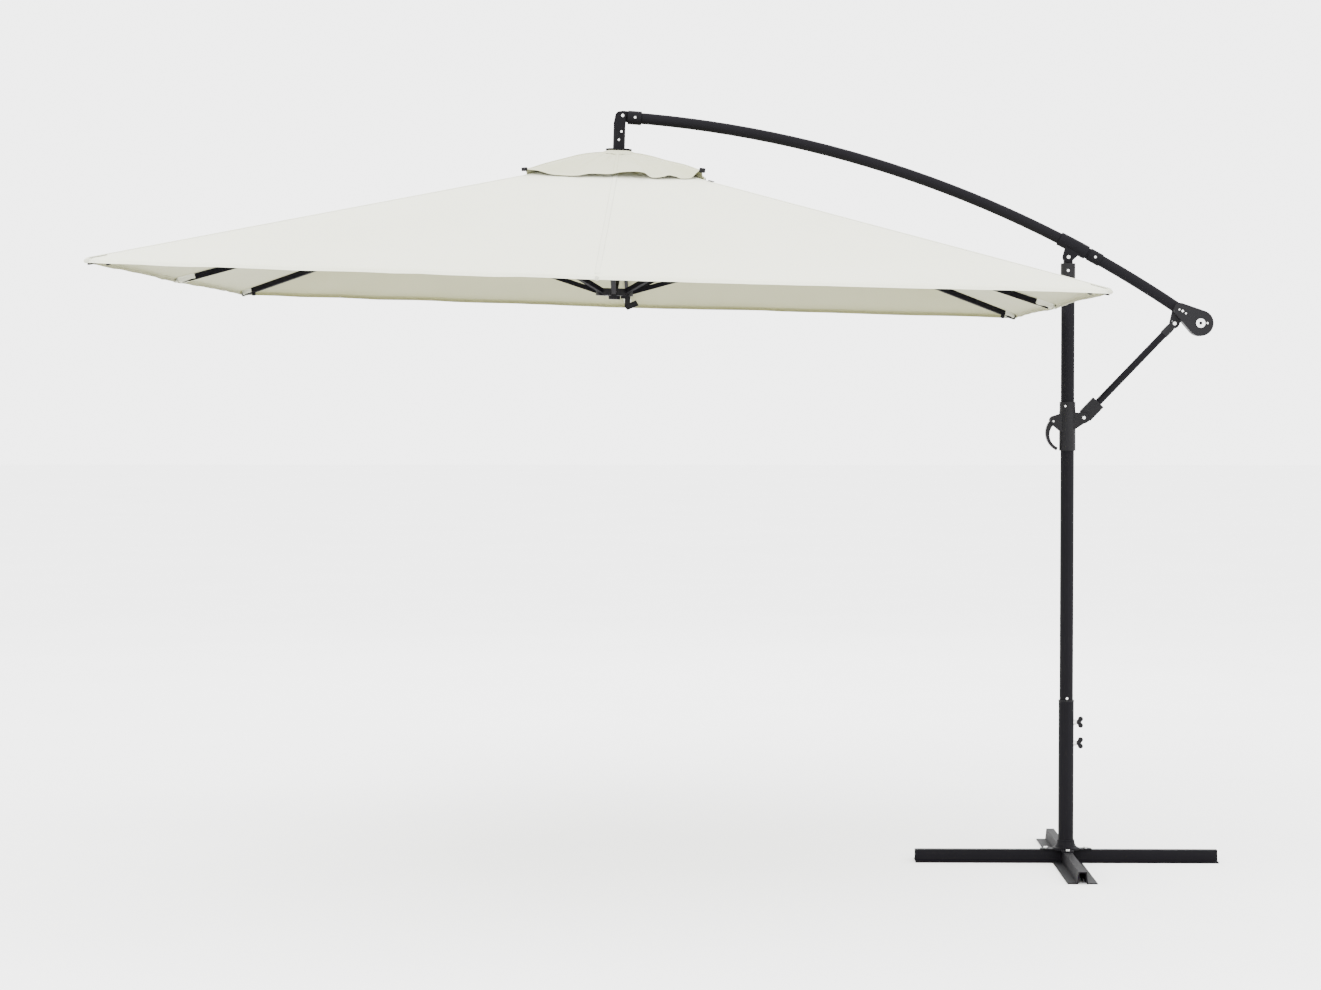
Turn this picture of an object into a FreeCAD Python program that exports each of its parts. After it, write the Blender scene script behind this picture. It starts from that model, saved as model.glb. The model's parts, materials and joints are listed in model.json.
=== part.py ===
import FreeCAD, Part
import math
import os

# Cantilever parasol with a cross base. Millimetres, +Z up.
# The origin is on the ground on the mast's axis. The canopy hangs towards -X, the crank is towards +X.

V = FreeCAD.Vector
X_AXIS = V(1, 0, 0)
Y_AXIS = V(0, 1, 0)
Z_AXIS = V(0, 0, 1)
GAP = 0.4  # running clearance between parts that move on each other

# Base
LEG_LENGTH = 1028.0
LEG_WIDTH = 98.0
LEG_HEIGHT = 40.0
LEG_TOP = 27.0
LEG_WALL_FOOT = 35.0
SHEET = 3.5
PLATE = 4.0
BOLT_OFFSET = 68.0
BOLT_R = 4.0
LOBE_R = 20.0
FOOT_TUBE_R = 26.0
FOOT_TUBE_BORE_R = 24.0
FOOT_TUBE_TOP = 546.0
WING_SCREW_HEIGHTS = (475.0, 404.0)
WING_SCREW_R = 4.0

# Mast
MAST_R = 23.0
MAST_WALL = 1.6
MAST_TOP = 1985.0
ARM_PIVOT = V(0, 0, 2056)

# Boom arm, one arc in the XZ plane
ARM_CENTRE = V(-1783, 0, -1308)
ARM_RADIUS = 3850.0
ARM_R = 19.0
ARM_WALL = 1.6
ARM_JOINT_X = 90.0
ARM_BRACKET_X = 17.0
ELBOW = V(-1510, 0, 2536)
HOUSING = V(446, 0, 1832)
HOUSING_R = 44.0
HOUSING_HALF = 24.0
HOUSING_SKIN = 3.0
CRANK_LENGTH = 140.0

# Strut and sliding collar
STRUT_TOP = V(360, 0, 1831)
STRUT_FOOT = V(54, 0, 1512)
STRUT_R = 12.0
COLLAR_R = 28.0
COLLAR_BOTTOM = 1400.0
COLLAR_TOP = 1534.0
COLLAR_NECK_TOP = 1566.0
LEVER_PIVOT = V(-49, 0, 1500)
TILT_RANGE = 24.0  # degrees that the canopy end of the arm can come down

# Canopy, in its own frame: origin at the top of the apex plate, then tipped and placed
CANOPY_APEX = V(-1524, 0, 2424)
CANOPY_TIP = 1.75
POST_R = 20.5
POST_HEIGHT = 88.0
HINGE_R = 52.0
CROWN_DROP = 56.0
LINK_SUM = 1480.0  # rib part plus stretcher length, the same for every rib
MID_SLOPE = 16.9
MID_REACH = 1481.0
CORNER_REACH = 1500.0 * math.sqrt(2.0)
RIB_WIDTH = 12.0
RIB_DEPTH = 20.0
RIB_WALL = 1.0
RIB_TIP_SHORT = 6.0  # the cloth reaches this far past the ribs
STRETCHER_WIDTH = 16.6
STRETCHER_DEPTH = 16.0
FORK_LENGTH = 56.0
PIN_R = 2.5
HUB_R = 64.0
HUB_HALF = 12.0
CLOTH = 0.6
VENT_HALF = 300.0
VENT_HOLE_HALF = 200.0
VENT_LIFT = 14.0  # the vent's edge stands this far above the cover


# ---------------------------------------------------------------- helpers


def box(x0, x1, y0, y1, z0, z1):
    return Part.makeBox(x1 - x0, y1 - y0, z1 - z0, V(x0, y0, z0))


def rod(start, direction, radius, length):
    return Part.makeCylinder(radius, length, start, direction)


def pipe(start, direction, outer, inner, length):
    return rod(start, direction, outer, length).cut(rod(start, direction, inner, length))


def cross_rod(centre, radius, half):
    """A round bar along Y, centred on a point of the XZ plane."""
    return rod(V(centre.x, -half, centre.z), Y_AXIS, radius, 2 * half)


def joined(*shapes):
    return shapes[0].fuse(list(shapes[1:])).removeSplitter()


def link_plate(a, ra, b, rb, y0, y1):
    """A plate in XZ around two circles, with straight tangent sides."""
    along = b - a
    distance = along.Length
    u = V(along).normalize()
    n = V(-u.z, 0, u.x)
    cosine = (ra - rb) / distance
    sine = math.sqrt(1 - cosine * cosine)
    left = u * cosine + n * sine
    right = u * cosine - n * sine
    up = V(0, y0, 0)
    a_left, a_right = a + left * ra + up, a + right * ra + up
    b_left, b_right = b + left * rb + up, b + right * rb + up
    edges = [
        Part.LineSegment(a_left, b_left).toShape(),
        Part.Arc(b_left, b + u * rb + up, b_right).toShape(),
        Part.LineSegment(b_right, a_right).toShape(),
        Part.Arc(a_right, a - u * ra + up, a_left).toShape(),
    ]
    return Part.Face(Part.Wire(edges)).extrude(V(0, y1 - y0, 0))


def prism_xz(points, y0, y1):
    outline = Part.makePolygon([V(x, y0, z) for x, z in points + points[:1]])
    return Part.Face(outline).extrude(V(0, y1 - y0, 0))


def turned(profile):
    """A solid of revolution about Z from (radius, height) points."""
    outline = Part.makePolygon([V(r, 0, z) for r, z in profile + profile[:1]])
    return Part.Face(outline).revolve(V(0, 0, 0), Z_AXIS, 360)


def arm_angle(x):
    return math.asin((x - ARM_CENTRE.x) / ARM_RADIUS)


def arm_point(angle):
    return ARM_CENTRE + V(math.sin(angle), 0, math.cos(angle)) * ARM_RADIUS


def arm_direction(angle):
    return V(math.cos(angle), 0, -math.sin(angle))


def arm_sweep(radius, angle0, angle1):
    """A round bar along the arm's arc."""
    circle = Part.Circle(arm_point(angle0), arm_direction(angle0), radius).toShape()
    disc = Part.Face(Part.Wire([circle]))
    return disc.revolve(ARM_CENTRE, Y_AXIS, math.degrees(angle1 - angle0))


def arm_pipe(outer, inner, angle0, angle1):
    return arm_sweep(outer, angle0, angle1).cut(arm_sweep(inner, angle0, angle1))


def arm_span(x_middle, length):
    half = length / 2 / ARM_RADIUS
    return arm_angle(x_middle) - half, arm_angle(x_middle) + half


def in_place(shape):
    """From the canopy's own frame to the object's."""
    shape.rotate(V(0, 0, 0), Y_AXIS, CANOPY_TIP)
    shape.translate(CANOPY_APEX)
    return shape


def closed_shell(faces):
    return Part.Solid(Part.Shell([Part.Face(Part.makePolygon(f + f[:1])) for f in faces]))


NODES = {}

# ---------------------------------------------------------------- base


def hat_outline(filled):
    half, foot, top = LEG_WIDTH / 2, LEG_WALL_FOOT / 2, LEG_TOP / 2
    outer = [(-half, 0), (-half, SHEET), (-foot, SHEET), (-top, LEG_HEIGHT)]
    outer += [(top, LEG_HEIGHT), (foot, SHEET), (half, SHEET), (half, 0)]
    if filled:
        return outer
    inner = [(foot - SHEET, 0), (top - SHEET, LEG_HEIGHT - SHEET)]
    inner += [(SHEET - top, LEG_HEIGHT - SHEET), (SHEET - foot, 0)]
    return outer + inner


def hat_bar(start, end, filled=False):
    """A folded leg along Y."""
    return prism_xz(hat_outline(filled), start, end)


def quarter_turns(shape, count):
    copy = shape.copy()
    copy.rotate(V(0, 0, 0), Z_AXIS, 90 * count)
    return copy


def bolt_holes(radius):
    holes = [rod(V(BOLT_OFFSET, 0, 20), Z_AXIS, radius, 40)]
    return holes + [quarter_turns(holes[0], i) for i in (1, 2, 3)]


def make_base():
    half = LEG_LENGTH / 2
    long_leg = quarter_turns(hat_bar(-half, half), 1)
    floor = box(-110, 110, -LEG_WALL_FOOT / 2 + 1, LEG_WALL_FOOT / 2 - 1, 0, SHEET)
    envelope = quarter_turns(hat_bar(-half - 5, half + 5, filled=True), 1)
    front = hat_bar(-half, 0).cut(envelope)
    holes = bolt_holes(BOLT_R)
    NODES["cross_leg_long"] = joined(long_leg, floor).cut(holes)
    NODES["cross_leg_front"] = front.cut(holes)
    NODES["cross_leg_rear"] = quarter_turns(NODES["cross_leg_front"], 2)

    low, high = LEG_HEIGHT, LEG_HEIGHT + PLATE
    lobe = rod(V(BOLT_OFFSET, 0, low), Z_AXIS, LOBE_R, PLATE)
    lobe = joined(lobe, box(0, BOLT_OFFSET, -LOBE_R, LOBE_R, low, high))
    disc = rod(V(0, 0, low), Z_AXIS, FOOT_TUBE_R + 22, PLATE)
    plate = joined(disc, lobe, *[quarter_turns(lobe, i) for i in (1, 2, 3)])
    NODES["foot_plate"] = plate.cut(holes)

    bolts = []
    for i in range(4):
        head = Part.Face(Part.makePolygon(
            [V(7.5 * math.cos(a), 7.5 * math.sin(a), high)
             for a in [math.radians(60 * k) for k in range(7)]]
        )).extrude(V(0, 0, 5.5))
        head.translate(V(BOLT_OFFSET, 0, 0))
        shank = rod(V(BOLT_OFFSET, 0, LEG_HEIGHT - 14), Z_AXIS, BOLT_R, 18)
        nut = rod(V(BOLT_OFFSET, 0, LEG_HEIGHT - SHEET - 7), Z_AXIS, 7, 7)
        bolts.append(quarter_turns(joined(head, shank, nut), i))
    NODES["flange_bolts"] = Part.makeCompound(bolts)

    NODES["foot_skirt"] = turned([
        (FOOT_TUBE_R, high), (45, high), (45, high + 2.5), (38, high + 6),
        (32.5, high + 13), (30, high + 22), (29, high + 30), (FOOT_TUBE_R, high + 30),
    ])
    height = FOOT_TUBE_TOP - high
    tube = pipe(V(0, 0, high), Z_AXIS, FOOT_TUBE_R, FOOT_TUBE_BORE_R, height)
    nuts = []
    for z in WING_SCREW_HEIGHTS:
        bore = rod(V(20, 0, z), X_AXIS, WING_SCREW_R, 30)
        tube = tube.cut(bore)
        nut = rod(V(20, 0, z), X_AXIS, 9, 14)
        nuts.append(nut.cut([bore, rod(V(0, 0, z - 20), Z_AXIS, FOOT_TUBE_R, 40)]))
    NODES["foot_tube"] = tube
    NODES["screw_nuts"] = Part.makeCompound(nuts)
    bush_bore = MAST_R + GAP
    NODES["foot_tube_bush"] = turned([
        (bush_bore, FOOT_TUBE_TOP - 50), (FOOT_TUBE_BORE_R, FOOT_TUBE_TOP - 50),
        (FOOT_TUBE_BORE_R, FOOT_TUBE_TOP), (FOOT_TUBE_R + 0.8, FOOT_TUBE_TOP),
        (FOOT_TUBE_R + 0.8, FOOT_TUBE_TOP + 5), (bush_bore, FOOT_TUBE_TOP + 5),
    ])


def wing_screw(z):
    """Clamping screw along X with a two-winged head."""
    radius = WING_SCREW_R - 0.05
    shank = rod(V(MAST_R + GAP, 0, z), X_AXIS, radius, 18)
    hub = rod(V(36, 0, z), X_AXIS, 7.5, 12)
    upper = link_plate(V(44, 0, z + 2), 6, V(49, 0, z + 11), 8.5, -3, 3)
    lower = link_plate(V(44, 0, z - 2), 6, V(49, 0, z - 11), 8.5, -3, 3)
    return joined(shank, hub, upper, lower)


# ---------------------------------------------------------------- mast


def make_mast():
    bottom = LEG_HEIGHT + PLATE + GAP
    wall_r = MAST_R - MAST_WALL
    NODES["mast_tube"] = pipe(V(0, 0, bottom), Z_AXIS, MAST_R, wall_r, MAST_TOP - bottom)
    cap_top = MAST_TOP + 50
    plug = rod(V(0, 0, MAST_TOP - 40), Z_AXIS, wall_r, 40)
    cap = rod(V(0, 0, MAST_TOP), Z_AXIS, MAST_R + 1.8, cap_top - MAST_TOP)
    tongue = link_plate(V(0, 0, cap_top - 10), 15, ARM_PIVOT, 15, -11.5, 11.5)
    tongue = tongue.cut(box(-30, 30, -30, 30, MAST_TOP - 50, MAST_TOP))
    NODES["mast_top_cap"] = joined(plug, cap, tongue).cut(cross_rod(ARM_PIVOT, 5.4, 30))
    stop = cross_rod(V(0, 0, FOOT_TUBE_TOP + 12), 4, MAST_R + 2)
    stop = stop.cut(rod(V(0, 0, FOOT_TUBE_TOP - 10), Z_AXIS, MAST_R, 50))
    screw = cross_rod(V(-2, 0, MAST_TOP + 25), 4.5, MAST_R + 4)
    screw = screw.cut(rod(V(0, 0, MAST_TOP), Z_AXIS, MAST_R + 1.8, 50))
    NODES["mast_rivets"] = Part.makeCompound(stop.Solids + screw.Solids)


# ---------------------------------------------------------------- arm


def tilted_strut(angle):
    """Strut pin's place seen from the tilted arm, with collar and strut moving at constant ratios."""
    start = collar_state(0)
    end = collar_state(TILT_RANGE)
    share = angle / TILT_RANGE
    foot_z = start[0] + (end[0] - start[0]) * share
    slope = start[1] + (end[1] - start[1]) * share
    length = (STRUT_TOP - STRUT_FOOT).Length
    pin = V(STRUT_FOOT.x + length * math.cos(slope), 0, foot_z + length * math.sin(slope))
    seen = pin - ARM_PIVOT
    turn = FreeCAD.Rotation(Y_AXIS, angle)
    return turn.multVec(seen) + ARM_PIVOT


def collar_state(angle):
    """Height of the strut's foot and the strut's slope when the arm has tilted by an angle."""
    turn = FreeCAD.Rotation(Y_AXIS, -angle)
    top = turn.multVec(STRUT_TOP - ARM_PIVOT) + ARM_PIVOT
    length = (STRUT_TOP - STRUT_FOOT).Length
    across = top.x - STRUT_FOOT.x
    rise = math.sqrt(length**2 - across**2)
    return top.z - rise, math.atan2(rise, across)


def make_arm():
    elbow_end = arm_angle(ELBOW.x + 22)
    joint = arm_angle(ARM_JOINT_X)
    housing_end = arm_angle(HOUSING.x - 58)
    inner = ARM_R - ARM_WALL
    NODES["arm_tube_front"] = arm_pipe(ARM_R, inner, elbow_end, joint)
    NODES["arm_tube_rear"] = arm_pipe(ARM_R, inner, joint, housing_end)
    NODES["arm_joint_sleeve"] = arm_pipe(ARM_R + 2.6, ARM_R, *arm_span(ARM_JOINT_X, 46))

    bracket_mid = arm_point(arm_angle(ARM_BRACKET_X))
    ears = []
    for y0, y1 in ((-16.5, -12.1), (12.1, 16.5)):
        ears.append(link_plate(ARM_PIVOT, 18, bracket_mid - V(0, 0, 12), 27, y0, y1))
    sleeve = arm_sweep(ARM_R + 4.4, *arm_span(ARM_BRACKET_X, 104))
    bracket = joined(sleeve, *ears)
    bore = arm_sweep(ARM_R, *arm_span(ARM_BRACKET_X, 200))
    NODES["arm_pivot_bracket"] = bracket.cut([bore, cross_rod(ARM_PIVOT, 5, 30)])

    tongue = link_plate(ELBOW, 17, arm_point(arm_angle(ELBOW.x + 30)), 20, -10, 10)
    collar = arm_sweep(ARM_R + 4.5, *arm_span(ELBOW.x + 40, 46))
    bore = arm_sweep(ARM_R, elbow_end, arm_angle(ELBOW.x + 90))
    NODES["elbow_fitting"] = joined(collar, tongue).cut([bore, cross_rod(ELBOW, 4, 30)])

    pins = [cross_rod(ARM_PIVOT, 5, 20), cross_rod(ARM_PIVOT, 6, 19).cut(cross_rod(ARM_PIVOT, 6, 16.5))]
    axle = joined(*pins)
    elbow_pin = joined(cross_rod(ELBOW, 4, 23), cross_rod(ELBOW, 5.2, 22).cut(cross_rod(ELBOW, 5.2, 20.8)))
    rivets = []
    for x, sleeve_r in ((ELBOW.x + 42, ARM_R + 4.5), (ARM_JOINT_X, ARM_R + 2.6)):
        rivet = cross_rod(arm_point(arm_angle(x)), 4, sleeve_r + 1.6)
        rivets += rivet.cut(arm_sweep(sleeve_r, *arm_span(x, 30))).Solids
    for x, z, radius in ((-72, 46, 3), (-61, 41, 4), (-50, 33, 3), (23, 0, 3.6)):
        place = HOUSING + V(x, 0, z)
        screw = cross_rod(place, radius, HOUSING_HALF + 1.6).cut(cross_rod(place, radius, HOUSING_HALF))
        rivets += screw.Solids
    NODES["arm_fasteners"] = Part.makeCompound([axle, elbow_pin] + rivets)

    neck = arm_point(arm_angle(HOUSING.x - 68))
    body = joined(
        link_plate(neck, 22.5, HOUSING, HOUSING_R, -HOUSING_HALF, HOUSING_HALF),
        link_plate(arm_point(arm_angle(HOUSING.x - 70)), 22, STRUT_TOP, 17, -5, 5),
    )
    hollow = link_plate(
        arm_point(arm_angle(HOUSING.x - 56)), 20, HOUSING, HOUSING_R - HOUSING_SKIN,
        HOUSING_SKIN - HOUSING_HALF, HOUSING_HALF - HOUSING_SKIN,
    )
    slot_cuts = [cross_rod(tilted_strut(TILT_RANGE * i / 8), 3.5 + 0.6, 30) for i in range(9)]
    bore = arm_sweep(ARM_R, arm_angle(HOUSING.x - 160), housing_end)
    wide = box(-100, 700, 0, 60, 1600, 2100)
    narrow = box(-100, 700, -60, 0, 1600, 2100)
    body = body.cut([hollow, bore, cross_rod(HOUSING, 5 + GAP, 60)] + slot_cuts)
    NODES["crank_housing_near"] = body.cut(wide)
    NODES["crank_housing_far"] = body.cut(narrow)
    ring = rod(V(HOUSING.x, -HOUSING_HALF - 2.5, HOUSING.z), Y_AXIS, 15.5, 2.5)
    NODES["crank_bearing_ring"] = ring.cut(rod(V(HOUSING.x, -40, HOUSING.z), Y_AXIS, 5 + GAP, 40))


def make_crank():
    shaft = cross_rod(HOUSING, 5, HOUSING_HALF + 4)
    spool = cross_rod(HOUSING, 16, 14)
    flanges = cross_rod(HOUSING, 32, 16).cut(cross_rod(HOUSING, 32, 14))
    NODES["crank_spindle"] = joined(shaft, spool, flanges)
    slope = arm_angle(HOUSING.x)
    grip_at = HOUSING + V(-math.cos(slope), 0, math.sin(slope)) * CRANK_LENGTH
    y0 = HOUSING_HALF + 4
    lever = link_plate(HOUSING, 13, grip_at, 9, y0, y0 + 6)
    peg = rod(V(grip_at.x, y0 + 6, grip_at.z), Y_AXIS, 4, 84)
    NODES["crank_arm"] = joined(lever, peg)
    start, end = y0 + 6 + GAP, y0 + 6 + 82
    grip = turned([
        (4 + GAP, start), (9.5, start), (11.5, start + 8), (12.5, start + 26),
        (12, start + 54), (10.5, end - 6), (8.5, end), (4 + GAP, end),
    ])
    grip.rotate(V(0, 0, 0), X_AXIS, -90)
    grip.translate(V(grip_at.x, 0, grip_at.z))
    NODES["crank_grip"] = grip


# ---------------------------------------------------------------- strut and collar


def make_strut():
    along = STRUT_TOP - STRUT_FOOT
    length = along.Length
    u = V(along).normalize()
    NODES["strut_tube"] = pipe(STRUT_FOOT + u * 26, u, STRUT_R, STRUT_R - 1.6, length - 26 - 28)
    block = Part.makeBox(64, 28, 48, V(8, -14, -24))
    block.rotate(V(0, 0, 0), Y_AXIS, -math.degrees(math.atan2(u.z, u.x)))
    block.translate(STRUT_FOOT)
    socket = joined(link_plate(STRUT_FOOT, 20, STRUT_FOOT + u * 24, 23, -14, 14), block)
    socket = socket.cut(rod(STRUT_FOOT + u * 26, u, STRUT_R, 80))
    NODES["strut_socket"] = socket.cut(cross_rod(STRUT_FOOT, 4 + GAP, 30))
    clevis = rod(STRUT_TOP - u * 52, u, 14, 34)
    clevis = clevis.cut(rod(STRUT_TOP - u * 60, u, STRUT_R, 32))
    cheeks = link_plate(STRUT_TOP, 11, STRUT_TOP - u * 24, 13, -11, 11)
    space = rod(STRUT_TOP - u * 26, u, 60, 80).common(box(200, 500, -5.5, 5.5, 1700, 2000))
    cheeks = cheeks.cut([space, rod(STRUT_TOP - u * 60, u, STRUT_R, 32)])
    NODES["strut_clevis"] = joined(clevis.cut(space), cheeks).cut(cross_rod(STRUT_TOP, 3.5, 30))
    NODES["strut_top_pin"] = joined(
        cross_rod(STRUT_TOP, 3.5, 14), cross_rod(STRUT_TOP, 6, 13).cut(cross_rod(STRUT_TOP, 6, 11))
    )


def make_collar():
    bore = rod(V(0, 0, COLLAR_BOTTOM - 10), Z_AXIS, MAST_R + 1.6, 200)
    shell = rod(V(0, 0, COLLAR_BOTTOM), Z_AXIS, COLLAR_R, COLLAR_TOP - COLLAR_BOTTOM)
    neck = rod(V(0, 0, COLLAR_TOP), Z_AXIS, COLLAR_R - 1, COLLAR_NECK_TOP - COLLAR_TOP)
    ears = []
    for y0, y1 in ((-19.5, -14.4), (14.4, 19.5)):
        ears.append(link_plate(V(12, 0, STRUT_FOOT.z - 12), 30, STRUT_FOOT, 17, y0, y1))
        ears.append(link_plate(V(-12, 0, LEVER_PIVOT.z - 4), 32, LEVER_PIVOT + V(3, 0, 3), 15, y0, y1))
    window = link_plate(V(20, 0, STRUT_FOOT.z - 14), 23, STRUT_FOOT + V(20, 0, 14), 26, -14.4, 14.4)
    window = window.cut(rod(V(0, 0, COLLAR_BOTTOM), Z_AXIS, COLLAR_R, 200))
    body = joined(shell, neck, *ears)
    pin_hole = cross_rod(STRUT_FOOT, 4, 30)
    lever_hole = cross_rod(LEVER_PIVOT, 3, 30)
    NODES["collar_shell"] = body.cut([bore, window, pin_hole, lever_hole])
    liner_height = COLLAR_NECK_TOP - COLLAR_BOTTOM
    NODES["collar_liner"] = pipe(V(0, 0, COLLAR_BOTTOM), Z_AXIS, MAST_R + 1.6, MAST_R + GAP, liner_height)
    washers = cross_rod(STRUT_FOOT, 5.4, 21.5).cut(cross_rod(STRUT_FOOT, 5.4, 19.5))
    strut_pin = joined(cross_rod(STRUT_FOOT, 4, 22), washers)
    lever_pin = cross_rod(LEVER_PIVOT, 3, 20.5)
    rivet = rod(V(0, 0, 0), V(-0.35, -1, 0), 3.6, COLLAR_R + 1)
    rivet.translate(V(0, 0, COLLAR_TOP + 17))
    rivet = rivet.cut(rod(V(0, 0, COLLAR_TOP), Z_AXIS, COLLAR_R - 1, 60))
    NODES["collar_pins"] = Part.makeCompound([strut_pin, lever_pin] + rivet.Solids)


def make_lever():
    """Bowed locking lever: a strip 12 mm thick that stands off the collar."""
    top, bulge, bottom = V(-43, 0, 1517), V(-74, 0, 1470), V(-38, 0, 1401)
    inner_bottom, inner_bulge, inner_top = V(-33, 0, 1411), V(-61.5, 0, 1458), V(-47, 0, 1488)
    outline = Part.Wire([
        Part.Arc(top, bulge, bottom).toShape(),
        Part.LineSegment(bottom, inner_bottom).toShape(),
        Part.Arc(inner_bottom, inner_bulge, inner_top).toShape(),
        Part.LineSegment(inner_top, top).toShape(),
    ])
    strip = Part.Face(outline).extrude(V(0, 27.6, 0))
    strip.translate(V(0, -13.8, 0))
    boss = cross_rod(LEVER_PIVOT, 8, 13.8)
    lever = joined(strip, boss).cut([
        cross_rod(LEVER_PIVOT, 3 + 0.2, 30),
        rod(V(0, 0, COLLAR_BOTTOM - 20), Z_AXIS, COLLAR_R + 1, 200),
    ])
    NODES["lock_lever"] = lever


# ---------------------------------------------------------------- canopy


def reach(k):
    return MID_REACH if k % 2 == 0 else CORNER_REACH


def rib_slope(k):
    """Corner ribs are flatter, so that all tips lie in one plane."""
    drop = (MID_REACH - HINGE_R) * math.tan(math.radians(MID_SLOPE))
    return math.atan2(drop, reach(k) - HINGE_R)


def runner_drop():
    return LINK_SUM * math.sin(rib_slope(0))


def rib_part(k):
    """Distance along the rib from the crown pin to the stretcher's rivet."""
    height = runner_drop()
    return (LINK_SUM**2 - height**2) / (2 * (LINK_SUM - height * math.sin(rib_slope(k))))


def stretcher_slope(k):
    """Slope of a stretcher, rising outwards from the runner."""
    rise = runner_drop() - rib_part(k) * math.sin(rib_slope(k))
    return math.asin(rise / (LINK_SUM - rib_part(k)))


def around(shape, k):
    shape.rotate(V(0, 0, 0), Z_AXIS, 45 * k)
    return shape


def make_rib(k):
    length = (reach(k) - HINGE_R) / math.cos(rib_slope(k)) - RIB_TIP_SHORT
    half_w, half_d = RIB_WIDTH / 2, RIB_DEPTH / 2
    bar = box(4, length, -half_w, half_w, -half_d, half_d)
    hollow = box(12, length - 3, RIB_WALL - half_w, half_w - RIB_WALL, RIB_WALL - half_d, half_d - RIB_WALL)
    eye = cross_rod(V(0, 0, 0), 8, half_w)
    rib = joined(bar.cut(hollow), eye, cross_rod(V(rib_part(k), 0, 0), PIN_R, half_w + 3.6))
    rib = rib.cut(cross_rod(V(0, 0, 0), PIN_R + 0.3, 20))
    rib.rotate(V(0, 0, 0), Y_AXIS, math.degrees(rib_slope(k)))
    rib.translate(V(HINGE_R, 0, -CROWN_DROP))
    return in_place(around(rib, k))


def make_stretcher(k):
    """A square bar with a fork at the rib and a plain eye at the runner. Built from the fork inwards."""
    length = LINK_SUM - rib_part(k)
    half_w, half_d = STRETCHER_WIDTH / 2, STRETCHER_DEPTH / 2
    bar = box(-length, -FORK_LENGTH, -half_w, half_w, -half_d, half_d)
    hollow = box(-length + 16, -FORK_LENGTH - 4, 1.2 - half_w, half_w - 1.2, 1.2 - half_d, half_d - 1.2)
    eye = cross_rod(V(-length, 0, 0), half_d, half_w)
    cheek_in = RIB_WIDTH / 2 + 0.4
    cheeks = joined(
        link_plate(V(0, 0, 0), half_d, V(-FORK_LENGTH - 6, 0, 0), half_d - 0.01, -half_w, -cheek_in),
        link_plate(V(0, 0, 0), half_d, V(-FORK_LENGTH - 6, 0, 0), half_d - 0.01, cheek_in, half_w),
        bar.cut(hollow), eye,
    )
    shape = cheeks.cut([
        cross_rod(V(0, 0, 0), PIN_R + 0.3, 20), cross_rod(V(-length, 0, 0), PIN_R + 0.3, 20),
    ])
    shape.rotate(V(0, 0, 0), Y_AXIS, -math.degrees(stretcher_slope(k)))
    slope = rib_slope(k)
    along = rib_part(k)
    shape.translate(V(HINGE_R + along * math.cos(slope), 0, -CROWN_DROP - along * math.sin(slope)))
    return in_place(around(shape, k))


def slotted_hub(z, slot_width, slot_start, core_r, pinned):
    """A hub with eight radial slots, and its cross pins."""
    disc = rod(V(0, 0, z - HUB_HALF), Z_AXIS, HUB_R, 2 * HUB_HALF)
    slots = []
    pins = []
    for k in range(8):
        half = slot_width / 2
        slots.append(around(box(slot_start, HUB_R + 5, -half, half, z - 50, z + 50), k))
        if k in pinned:
            pins.append(around(cross_rod(V(HINGE_R, 0, z), PIN_R, half + 6), k))
    core = rod(V(0, 0, z - HUB_HALF - 12), Z_AXIS, core_r, 2 * HUB_HALF + 12)
    hub = joined(disc.cut(slots), core).cut(pins)
    return hub, Part.makeCompound(pins)


def sloped_cover(inner, outer, drop, thickness):
    """Eight-sided cloth pyramid with an open top. inner and outer give the half widths at mid and corner,
    drop gives the height of the underside at those rings."""
    rings = []
    for radii, z in ((outer, drop[1]), (inner, drop[0])):
        for lift in (0.0, thickness):
            ring = []
            for k in range(8):
                a = math.radians(45 * k)
                r = radii[k % 2]
                ring.append(V(r * math.cos(a), r * math.sin(a), z + lift))
            rings.append(ring)
    outer_low, outer_high, inner_low, inner_high = rings
    faces = []
    for k in range(8):
        n = (k + 1) % 8
        for low, high, flip in ((inner_low, outer_low, True), (inner_high, outer_high, False)):
            faces.append([low[k], high[k], high[n]] if not flip else [low[k], high[n], high[k]])
            faces.append([low[k], high[n], low[n]] if not flip else [low[k], low[n], high[n]])
        faces.append([outer_low[k], outer_low[n], outer_high[n], outer_high[k]])
        faces.append([inner_low[n], inner_low[k], inner_high[k], inner_high[n]])
    solid = closed_shell(faces)
    if solid.Volume < 0:
        solid.reverse()
    return solid


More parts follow.
